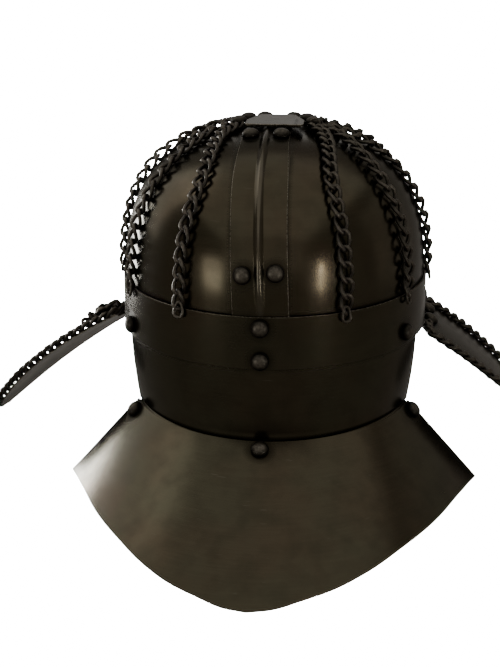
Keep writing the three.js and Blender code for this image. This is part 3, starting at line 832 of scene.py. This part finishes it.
cheek = {
    "length": 145 * mm,
    "halfWidth": 39.7 * mm,
    "bendRadius": 310 * mm,
    "curlRadius": 417 * mm,
    "start": 6.2 * mm,
    "rows": 56,
    "columns": 28,
    "dent": 0.2 * mm,
    "dentSpread": 30 * mm,
}

# a cheek guard's half width at shares of its length
cheekOutline = [
    (0, 0.82), (0.03, 0.95), (0.08, 1), (0.2, 1.01), (0.38, 0.99), (0.54, 0.92), (0.68, 0.79), (0.8, 0.63),
    (0.89, 0.46), (0.95, 0.31), (0.985, 0.18), (1, 0.07),
]


def hingeFrame(side):
    # local X runs along the pin, Y out of the moving leaf and Z back up to the pin
    joint = next(joint for joint in frame["joints"] if joint["child"] == "cheek_" + side)
    along = Vector(joint["axis"]).normalized()
    out = Vector((0, 0, 1)).cross(along).normalized()
    turned = Matrix((along, out, along.cross(out))).transposed().to_4x4()
    return Matrix.Translation(joint["pos_m"]) @ turned


def cheekFrame(side):
    return hingeFrame(side) @ Matrix.Rotation(math.radians(hinge["swing"][side]), 4, "X")


def cheekPlace(along, down, off):
    bend = down / cheek["bendRadius"]
    radius = cheek["bendRadius"] + off - along**2 / (2 * cheek["curlRadius"])
    return Vector((along, radius * math.cos(bend) - cheek["bendRadius"], -radius * math.sin(bend)))


def cheekWidth(share):
    return cheek["halfWidth"] * smoothAt(cheekOutline, share)


plateInner = sheet["thickness"] / 2 + sheet["gap"]
plateOuter = plateInner + sheet["thickness"]


def barrel(shape, start, end, radius, matrix, edge=hinge["edge"]):
    # a short round bar along local X with softened rims
    made = bmesh.ops.create_cone(shape, cap_ends=True, segments=hinge["segments"], radius1=radius,
                                 radius2=radius, depth=end - start)["verts"]
    turn = Matrix.Translation(((start + end) / 2, 0, 0)) @ Matrix.Rotation(math.pi / 2, 4, "Y")
    bmesh.ops.transform(shape, matrix=turn, verts=made)
    rims = {side for vert in made for side in vert.link_edges if len(side.link_faces) == 2
            and side.calc_face_angle(0) > 1}
    beveled = bmesh.ops.bevel(shape, geom=list(rims), offset=edge, segments=hinge["edgeSteps"], profile=0.5,
                              affect="EDGES", material=-1)["verts"]
    verts = {vert for vert in [*made, *beveled] if vert.is_valid}
    bmesh.ops.transform(shape, matrix=matrix, verts=list(verts))


def solidSheet(shape, rows, columns, place, outwards):
    # a closed leaf with both faces, added to a shape that holds other solids too
    leaf = bentGrid(rows, columns, place, outwards)
    bmesh.ops.solidify(leaf, geom=leaf.faces[:], thickness=sheet["thickness"])
    carry = meshOf("leafCarry", leaf)
    shape.from_mesh(carry)
    bpy.data.meshes.remove(carry)


def makeFixedLeaf(side, sign):
    matrix = hingeFrame(side)
    shape = bmesh.new()
    inner = hinge["middleKnuckle"] / 2 + hinge["knuckleGap"]
    barrel(shape, inner, hinge["width"] / 2, hinge["knuckle"], matrix)
    barrel(shape, -hinge["width"] / 2, -inner, hinge["knuckle"], matrix)
    span = math.degrees(hinge["width"] / 2 / bandHalfDepth)
    foot = matrix.translation.z + hinge["knuckle"] * hinge["leafFoot"]

    def place(row, column):
        angle = sign * (hinge["angle"] + span * (2 * column - 1))
        z = foot + (hinge["leafHeight"] - foot) * row
        spot, normal = bandPlace(angle, z)
        return spot - normal * (sheet["thickness"] + sheet["gap"])

    _, out = bandPlace(sign * hinge["angle"], 0)
    solidSheet(shape, 4, 12, place, out)
    keepPiece("fixedLeaf" + side.capitalize(), shape, ("sheet", "edge"), "sheet_steel", "shell",
              "hinge_fixed_leaf_" + side)


def makePin(side):
    matrix = hingeFrame(side)
    reach = hinge["width"] / 2 + sheet["gap"]
    shape = bmesh.new()
    barrel(shape, -reach, reach, hinge["pin"], matrix, hinge["pinEdge"])
    barrel(shape, reach, reach + hinge["pinHeadLength"], hinge["pinHead"], matrix)
    barrel(shape, -reach - hinge["pinHeadLength"], -reach, hinge["pinHead"], matrix)
    keepPiece("hingePin" + side.capitalize(), shape, ("rivet",), "rivet_steel", "shell", "hinge_pin_" + side)


def makeMovingLeaf(side):
    matrix = cheekFrame(side)
    shape = bmesh.new()
    barrel(shape, -hinge["middleKnuckle"] / 2, hinge["middleKnuckle"] / 2, hinge["knuckle"], matrix)

    def leafPart(halfWidth, start, end, columns):
        def place(row, column):
            down = start + (end - start) * row
            return matrix @ cheekPlace(halfWidth * (2 * column - 1), down, sheet["thickness"] / 2)

        solidSheet(shape, 4, columns, place, matrix.to_3x3() @ Vector((0, 1, 0)))

    clear = hinge["knuckle"] + 2 * hinge["knuckleGap"]
    leafPart(hinge["width"] / 2, clear, hinge["leafLength"], 12)
    leafPart(hinge["middleKnuckle"] / 2, hinge["tongueStart"], clear + hinge["tongueLap"], 4)
    keepPiece("movingLeaf" + side.capitalize(), shape, ("sheet", "edge"), "sheet_steel", "cheek_" + side,
              "hinge_moving_leaf_" + side)


def makeCheek(side):
    matrix = cheekFrame(side)
    outwards = matrix.to_3x3() @ Vector((0, 1, 0))

    def place(row, column):
        share = 0.5 - 0.5 * math.cos(math.pi * row)  # rows lie closer at both ends
        down = cheek["start"] + (cheek["length"] - cheek["start"]) * share
        spot = matrix @ cheekPlace(cheekWidth(share) * (2 * column - 1), down, plateOuter)
        return uneven(spot, outwards, cheek["dent"], cheek["dentSpread"])

    shape = bentGrid(cheek["rows"], cheek["columns"], place, outwards)
    sheetPiece("cheekGuardSheet" + side.capitalize(), shape, "cheek_" + side, "cheek_guard_" + side)


for side, sign in sides.items():
    makeFixedLeaf(side, sign)
    makePin(side)
    makeMovingLeaf(side)
    makeCheek(side)
print("hinges and cheek guards made")

# rivets

rivet = {
    "radius": 5.8 * mm,
    "height": 4.8 * mm,
    "rim": 1.1 * mm,  # upright side under the dome
    "shank": 2.2 * mm,
    "tail": 3.6 * mm,
    "tailHeight": 1.2 * mm,
    "slack": 0.5 * mm,
    "chamfer": 0.3 * mm,
    "steps": 28,
    "domeSteps": 6,
    "domePower": 0.9,  # 1 is a round dome, less is squarer
    "wearReach": 1.25,  # radii from the middle to where the rubbed top ends
    "lumps": 0.22 * mm,
    "lumpSize": 4 * mm,
    "lumpShift": (0.37, 0.71, 0.13),  # from one rivet's hammer marks to the next's
    "turn": 1.7,  # radians from one rivet to the next
}

rivetPlaces = {
    "crownStack": 3.1 * mm,
    "crown": [(25 * mm, -3.5 * mm), (19.8 * mm, -17 * mm)],
    "strapSpread": 10 * mm,
    "strapReach": 32.5 * mm,
    "strapLow": 63.8 * mm,
    "bandHigh": 27.4 * mm,
    "bandLow": 5.9 * mm,
    "wallAngle": 60.5,
    "wallHeight": 8.3 * mm,
    "guardInset": 8.2 * mm,
    "guardShares": {"back": 0.0, "left": 0.92, "right": -0.95},
}


def rivetShape(stack, under, seed):
    # half the outline spun round Z: a hammered dome, the shank and the tail inside
    foot = sheet["gap"] + under
    end = -stack - sheet["gap"] - rivet["slack"]
    chamfer = rivet["chamfer"]
    radius, shank, tail = rivet["radius"], rivet["shank"], rivet["tail"]
    outline = [
        (0, end - rivet["tailHeight"]), (tail, end - chamfer), (tail, end), (shank, end), (shank, foot),
        (radius - chamfer, foot), (radius, foot + chamfer),
    ]
    for step in range(rivet["domeSteps"]):
        turn = math.pi / 2 * step / rivet["domeSteps"]
        across = radius * math.cos(turn) ** rivet["domePower"]
        outline.append((across, foot + rivet["rim"] + (rivet["height"] - rivet["rim"]) * math.sin(turn)))
    outline.append((0, foot + rivet["height"]))
    shape = bmesh.new()
    verts = [shape.verts.new((across, 0, up)) for across, up in outline]
    edges = [shape.edges.new(pair) for pair in zip(verts, verts[1:])]
    bmesh.ops.spin(shape, geom=verts + edges, cent=(0, 0, 0), axis=(0, 0, 1), angle=2 * math.pi,
                   steps=rivet["steps"], use_merge=True)
    bmesh.ops.remove_doubles(shape, verts=shape.verts, dist=0.01 * mm)
    bmesh.ops.recalc_face_normals(shape, faces=shape.faces)
    proud = shape.verts.layers.float.new("proud")
    shift = Vector(rivet["lumpShift"]) * seed
    for vert in shape.verts:
        above = (vert.co.z - foot) / rivet["height"]
        out = math.hypot(vert.co.x, vert.co.y) / radius
        vert[proud] = easeIn(above) * easeIn(rivet["wearReach"] - out)
        if above > 0:
            # hammer blows leave each head a little lopsided
            blow = noise.noise(vert.co / rivet["lumpSize"] + shift)
            vert.co += Vector((vert.co.x, vert.co.y, -vert.co.z)).normalized() * blow * rivet["lumps"] * above
    return shape


def standOn(spot, normal):
    return Matrix.Translation(spot) @ Vector((0, 0, 1)).rotation_difference(normal).to_matrix().to_4x4()


rivetSpots = []


def makeRivet(node, spot, normal, stack, body="shell", under=0.0):
    rivetSpots.append(spot)
    shape = rivetShape(stack, under, len(rivetSpots))
    spin = Matrix.Rotation(len(rivetSpots) * rivet["turn"], 4, "Z")
    bmesh.ops.transform(shape, matrix=standOn(spot, normal) @ spin, verts=shape.verts)
    words = node.split("_")
    name = words[0] + "".join(word.capitalize() for word in words[1:])
    keepPiece(name, shape, ("rivet",), "rivet_steel", body, node)


def onStrap(x, y, sign):
    spot, normal = domePlace(x, y)
    spot += normal * (strap["standOff"] + sheet["thickness"])
    return Vector((spot.x, spot.y * sign, spot.z)), Vector((normal.x, normal.y * sign, normal.z))


def sideRivets(places, side, sign, two):
    for number, (x, y) in enumerate(places["crown"], 1):
        spot, normal = domePlace(sign * x, y)
        makeRivet(f"crown_rivet_{side}_{number}", spot, normal, sheet["thickness"],
                  under=places["crownStack"])
    spot, normal = bandPlace(sign * places["wallAngle"], places["wallHeight"])
    makeRivet("wall_rivet_" + side, spot, normal, two)
    turn = math.degrees(hinge["rivetSpread"] / bandHalfDepth)
    matrix = cheekFrame(side)
    for number, way in enumerate((-1, 1), 1):
        spot, normal = bandPlace(sign * (hinge["angle"] + way * turn), hinge["rivetHeight"])
        makeRivet(f"hinge_rivet_{side}_{number}", spot, normal, two)
        along = way * hinge["rivetSpread"]
        spot = cheekPlace(along, hinge["rivetInset"], plateOuter)
        normal = cheekPlace(along, hinge["rivetInset"], plateOuter + mm) - spot
        makeRivet(f"cheek_rivet_{side}_{number}", matrix @ spot, matrix.to_3x3() @ normal.normalized(), two,
                  "cheek_" + side)


def strapRivets(places, facing, sign, stack):
    q = dome["fullness"]
    lowReach = dome["halfDepth"] * (1 - ((places["strapLow"] - bandTop) / domeHeight) ** q) ** (1 / q)
    number = 0
    for reach in (places["strapReach"], lowReach):
        lean = strap["lean"][facing] * (domePlace(0, reach)[0].z - bandTop) / domeHeight
        for way in (-1, 1):
            number += 1
            spot, normal = onStrap(lean + way * places["strapSpread"], reach, sign)
            makeRivet(f"strap_rivet_{facing}_{number}", spot, normal, stack)


def makeRivets():
    places = rivetPlaces
    two = 2 * sheet["thickness"] + sheet["gap"]
    three = 3 * sheet["thickness"] + 2 * sheet["gap"]
    for side, sign in sides.items():
        sideRivets(places, side, sign, two)
    strapRivets(places, "back", 1, two)
    strapRivets(places, "front", -1, two)
    for node, angle, z, stack in (
        ("band_rivet_back_high", 0, places["bandHigh"], three),
        ("band_rivet_front", 180, places["bandHigh"], three),
        ("band_rivet_back_low", 0, places["bandLow"], two),
    ):
        spot, normal = bandPlace(angle, z)
        makeRivet(node, spot, normal, stack)
    for where, share in places["guardShares"].items():
        spot, normal = guardSpot(neckAngle(share), places["guardInset"])
        makeRivet("guard_rivet_" + where, spot, normal, two)


makeRivets()
# painted shade and dirt round the rivet heads
addRivetShadeAndDirt(sheetNodes, rivetSpots, rivet["radius"])
print("rivets made:", len(rivetSpots))

# curb chains

link = {
    "halfLength": 6.4 * mm,  # of the wire's middle line
    "halfWidth": 4.0 * mm,
    "wire": 2.7 * mm,
    "twist": -48,  # degrees at each end
    "steps": 12,
    "sides": 6,
}
cheekLink = {"halfLength": 5.1 * mm, "halfWidth": 3.3 * mm, "wire": 2.85 * mm, "twist": -56}

endRing = {"halfLength": 5 * mm, "halfWidth": 3 * mm, "wire": 1.9 * mm, "taper": 0.35, "drop": 0.8 * mm}

standingRing = {"x": 26.5 * mm, "y": 4 * mm, "height": 4 * mm, "scale": 0.9}

domeChain = {
    "places": 5,
    "pitch": 30,  # degrees from one chain to the next round the rim
    "starts": [(0, 8), (0, 58), (0, 106), (1, 118), (1, 168)],  # crown rivet and heading of each chain
    "standOff": 10.6 * mm,
    "sweep": 6,  # how soon a chain turns from its rivet to its own line
    "height": 3.1 * mm,  # of the links' middle over the dome
    # how a chain lies on its line: degrees turned about it, how far it bows to the back, how much lower
    "lies": {"left3": (-30, 0, 0), "right2": (0, 2.2 * mm, 0), "right3": (-14, 3.4 * mm, 0.7 * mm)},
    "samples": 240,
    "rollJitter": 9,
    "sideJitter": 0.35 * mm,
}

cheekChain = {
    "proud": 1.4 * mm,  # the chain's line lies this far outside the plate's edge
    "height": 1.9 * mm,
    "samples": 160,
}

# loose links heaped on the left cheek guard's top corner: along, down, height, heading and roll
heapedLinks = [
    (-32, 10, 3.8, 20, 10), (-36, 12, 6.0, 95, -25), (-31, 15, 4.4, 150, 30), (-36, 17, 7.4, 60, 15),
    (-33, 20, 5.4, 10, -30), (-37, 22, 6.6, 120, 20), (-34, 25, 4.2, 80, -15), (-37, 27, 5.6, 30, 25),
    (-33, 30, 3.8, 140, -10), (-37, 33, 3.6, 60, 30),
]


def linkShape(look):
    # a ring of round wire drawn out to an oval, or to a drop, and twisted along its length
    halfLength, halfWidth, wire = look["halfLength"], look["halfWidth"], look["wire"]
    twist = math.radians(look.get("twist", 0))
    taper = look.get("taper", 0)
    thin = 0.25  # radius of the wire in a ring of radius 1, before it takes its size
    shape = bmesh.new()
    section = bmesh.ops.create_circle(shape, segments=link["sides"], radius=thin)["verts"]
    upright = Matrix.Rotation(math.pi / 2, 3, "X")
    bmesh.ops.rotate(shape, verts=section, cent=(0, 0, 0), matrix=upright)
    bmesh.ops.translate(shape, verts=section, vec=(1, 0, 0))
    bmesh.ops.spin(shape, geom=shape.verts[:] + shape.edges[:], cent=(0, 0, 0), axis=(0, 0, 1),
                   angle=2 * math.pi, steps=link["steps"], use_merge=True)
    bmesh.ops.remove_doubles(shape, verts=shape.verts, dist=1e-4)

    def middleLine(turn):
        c, s = math.cos(turn), math.sin(turn)
        x = halfLength * math.copysign(abs(c) ** 0.85, c)
        across = halfWidth * math.copysign(abs(s) ** 0.8, s) * (1 + taper * x / halfLength)
        roll = twist * x / halfLength
        return Vector((x, across * math.cos(roll), across * math.sin(roll)))

    proud = shape.verts.layers.float.new("proud")
    top = halfWidth * math.sin(abs(twist) * 0.6) + wire / 2
    for vert in shape.verts:
        turn = math.atan2(vert.co.y, vert.co.x)
        out = math.hypot(vert.co.x, vert.co.y) - 1
        spot = middleLine(turn)
        tangent = (middleLine(turn + 0.01) - middleLine(turn - 0.01)).normalized()
        side = tangent.cross(Vector((0, 0, 1))).normalized()
        up = side.cross(tangent)
        vert.co = spot + (side * out + up * vert.co.z) * (wire / 2 / thin)
        vert[proud] = easeIn(0.35 + 0.65 * vert.co.z / top)
    bmesh.ops.recalc_face_normals(shape, faces=shape.faces)
    return shape


linkMesh = meshOf("linkCarry", linkShape(link))
cheekLinkMesh = meshOf("linkCarry", linkShape(cheekLink))
ringMesh = meshOf("linkCarry", linkShape(endRing))


def lengthsAlong(route):
    lengths = [0.0]
    for (first, _), (second, _) in zip(route, route[1:]):
        lengths.append(lengths[-1] + (second - first).length)
    return lengths


def atLength(route, lengths, length):
    # place, direction and normal at a length along a route of (place, normal)
    length = min(max(length, 0.0), lengths[-1])
    k = next(i for i in range(len(route) - 1) if length <= lengths[i + 1])
    share = (length - lengths[k]) / (lengths[k + 1] - lengths[k])
    (first, firstNormal), (second, secondNormal) = route[k], route[k + 1]
    return first.lerp(second, share), (second - first).normalized(), firstNormal.lerp(secondNormal, share)


def linkMatrix(spot, direction, normal, roll=0.0):
    side = normal.cross(direction).normalized()
    up = direction.cross(side)
    turned = Matrix((direction, side, up)).transposed().to_4x4()
    return Matrix.Translation(spot) @ turned @ Matrix.Rotation(roll, 4, "X")


def addLink(shape, mesh, matrix):
    start = len(shape.verts)
    shape.from_mesh(mesh)
    shape.verts.ensure_lookup_table()
    bmesh.ops.transform(shape, matrix=matrix, verts=shape.verts[start:])


def layLinks(shape, route, mesh, look, chance, jitter, lie=(0, 0, 0)):
    turned, bow, lower = lie
    lengths = lengthsAlong(route)
    count = max(2, round(lengths[-1] / (2 * look["halfLength"] - look["wire"])))
    for number in range(count):
        spot, direction, normal = atLength(route, lengths, lengths[-1] * (number + 0.5) / count)
        side = normal.cross(direction).normalized()
        spot = spot + side * chance.uniform(-1, 1) * domeChain["sideJitter"] * jitter
        spot.y += bow * math.sin(math.pi * (number + 0.5) / count)
        spot -= normal * lower
        roll = math.radians(turned + chance.uniform(-1, 1) * domeChain["rollJitter"] * jitter)
        addLink(shape, mesh, linkMatrix(spot, direction, normal, roll))


def domeRoute(sign, place, pinned, heading):
    # from under its crown rivet out to its own line down the dome
    x0, y0 = rivetPlaces["crown"][pinned]
    x = x0 + domeChain["standOff"] * math.sin(math.radians(heading))
    y = y0 + domeChain["standOff"] * math.cos(math.radians(heading))
    reach = math.hypot(x / dome["halfWidth"], y / dome["halfDepth"])
    topAngle = math.degrees(math.atan2(x / dome["halfWidth"], y / dome["halfDepth"]))
    topTurn = math.acos(reach ** (dome["fullness"] / 2)) / (math.pi / 2)
    rimAngle = place * domeChain["pitch"]
    route = []
    for step in range(5):
        share = (step + 0.5) / 5
        spot, normal = domePlace(sign * (x0 + (x - x0) * share), y0 + (y - y0) * share)
        route.append((spot + normal * domeChain["height"], normal))
    for step in range(domeChain["samples"] + 1):
        left = 1 - step / domeChain["samples"]
        angle = rimAngle + (topAngle - rimAngle) * left ** domeChain["sweep"]
        spot, normal = onDome(topTurn * left, sign * angle)
        route.append((spot + normal * domeChain["height"], normal))
    return route


def makeDomeChain(side, sign, place):
    pinned, heading = domeChain["starts"][place - 1]
    chance = random.Random(f"{side}{place}")
    route = domeRoute(sign, place, pinned, heading)
    shape = bmesh.new()
    turned, bow, lower = domeChain["lies"].get(f"{side}{place}", (0, 0, 0))
    layLinks(shape, route, linkMesh, link, chance, 1.0, (sign * turned, bow, lower))
    # the last ring hangs flat over the band's edge
    angle = sign * place * domeChain["pitch"]
    spot, normal = bandPlace(angle, bandTop - endRing["drop"])
    spot += normal * (endRing["wire"] / 2 + 0.6 * mm)
    lean = Vector((0, 0, -1)) + normal * 0.16
    addLink(shape, ringMesh, linkMatrix(spot, lean.normalized(), normal, chance.uniform(-0.2, 0.2)))
    if (side, place) == ("right", 3):
        # one small ring stands up beside the crown rivet
        spot, _ = domePlace(sign * standingRing["x"], standingRing["y"])
        spot.z += standingRing["height"]
        small = Matrix.Scale(standingRing["scale"], 4)
        addLink(shape, ringMesh, linkMatrix(spot, Vector((0, 0, 1)), Vector((0.1, 1, 0))) @ small)
    keepPiece(f"domeChain{side.capitalize()}{place}", shape, ("chain",), "chain_steel", "shell",
              f"dome_chain_{side}_{place}")


def heapLinks(shape, matrix):
    for along, down, height, heading, roll in heapedLinks:
        spot = cheekPlace(along * mm, down * mm, plateOuter + height * mm)
        heading = math.radians(heading)
        direction = Vector((math.cos(heading), 0, math.sin(heading)))
        placed = linkMatrix(spot, direction, Vector((0, 1, 0)), math.radians(roll))
        addLink(shape, cheekLinkMesh, matrix @ placed)


def makeCheekChain(side):
    matrix = cheekFrame(side)
    turned = matrix.to_3x3()
    off = plateOuter + cheekChain["height"]
    corner = cheek["start"] + 2 * mm
    half = [(cheek["halfWidth"] * 0.62, corner), (cheek["halfWidth"] * 0.84, corner + 0.5 * mm)]
    for step in range(cheekChain["samples"] + 1):
        share = 0.05 + 0.95 * (0.5 - 0.5 * math.cos(math.pi * step / cheekChain["samples"]))
        down = cheek["start"] + (cheek["length"] - cheek["start"]) * share
        half.append((cheekWidth(share) + cheekChain["proud"], down))
    points = half + [(-along, down) for along, down in reversed(half)]
    route = []
    for along, down in points:
        spot = cheekPlace(along, down, off)
        normal = cheekPlace(along, down, off + mm) - spot
        route.append((matrix @ spot, turned @ normal.normalized()))
    shape = bmesh.new()
    layLinks(shape, route, cheekLinkMesh, cheekLink, random.Random("cheek" + side), 0.6)
    if side == "left":
        heapLinks(shape, matrix)
    keepPiece("cheekChainLinks" + side.capitalize(), shape, ("chain",), "chain_steel", "cheek_" + side,
              "cheek_chain_" + side)


for side, sign in sides.items():
    for place in range(1, domeChain["places"] + 1):
        makeDomeChain(side, sign, place)
    makeCheekChain(side)
for spare in (linkMesh, cheekLinkMesh, ringMesh):
    bpy.data.meshes.remove(spare)
print("chains made")
